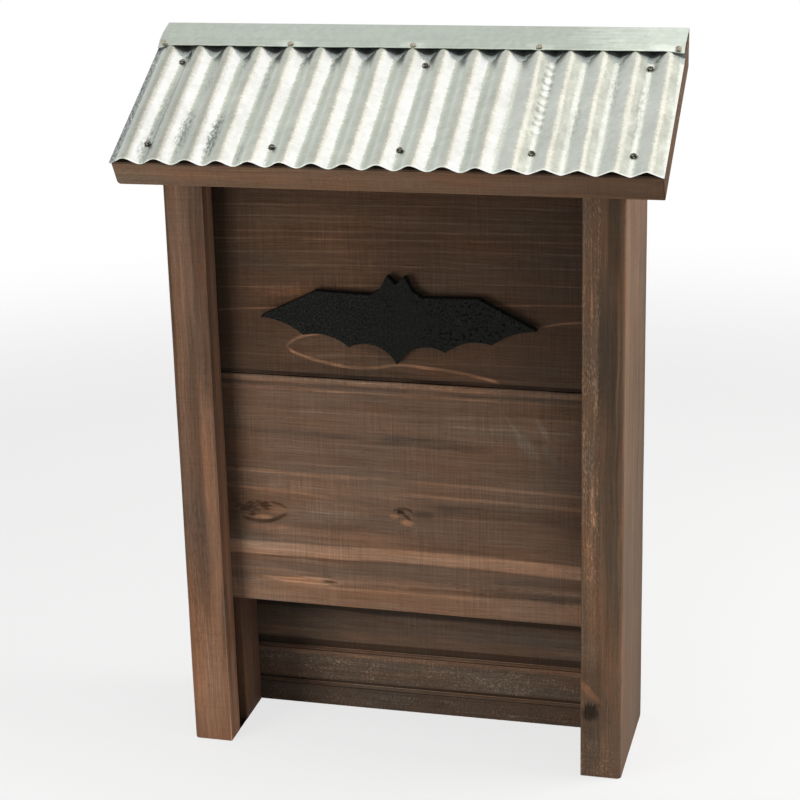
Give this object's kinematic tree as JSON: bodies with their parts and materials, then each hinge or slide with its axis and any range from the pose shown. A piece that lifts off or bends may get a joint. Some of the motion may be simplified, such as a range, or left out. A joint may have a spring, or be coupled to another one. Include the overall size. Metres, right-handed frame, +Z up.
{
  "type": "bat box",
  "caption": "Single chamber wooden bat box with grooved side boards, an open landing area below the front boards, a flat bat figure and a sloped roof under corrugated metal",
  "frame": {"origin": "bottom centre of the whole box, on the plane of the side boards' lower ends", "axes": "+Z up, +Y from the open landing side to the wall, +X to the right seen from the front"},
  "size_m": [0.323, 0.114, 0.4459],
  "materials": {
    "side_wood": "brown stain, planed faces with a fine grain",
    "front_wood": "dark brown stain, smooth resawn face with growth lines and knots",
    "back_wood": "dark brown stain, rough sawn",
    "roof_wood": "brown stain, planed",
    "black_paint": "matt black paint over wood grain",
    "corrugated_zinc": "galvanised, bright with grey spangle",
    "flashing_zinc": "galvanised, satin",
    "nail_steel": "dull zinc with a brown tarnish",
    "screw_steel": "yellow zinc",
    "strap_steel": "bright zinc"
  },
  "bodies": {
    "root": {"left_side": "side_wood", "right_side": "side_wood", "front_board_lower": "front_wood", "front_board_upper": "front_wood", "back_board_lower": "back_wood", "back_board_middle": "back_wood", "back_board_upper": "back_wood", "roof_board": "roof_wood", "roof_sheet": "corrugated_zinc", "top_flashing": "flashing_zinc", "bat_figure": "black_paint", "hanging_strap": "strap_steel", "sheet_nails_lower": "nail_steel", "sheet_nails_upper": "nail_steel", "flashing_nails": "nail_steel", "roof_screws": "screw_steel", "front_board_brads": "nail_steel", "bat_figure_brads": "nail_steel", "back_board_nails": "nail_steel", "strap_screws": "screw_steel"}
  },
  "joints": []
}
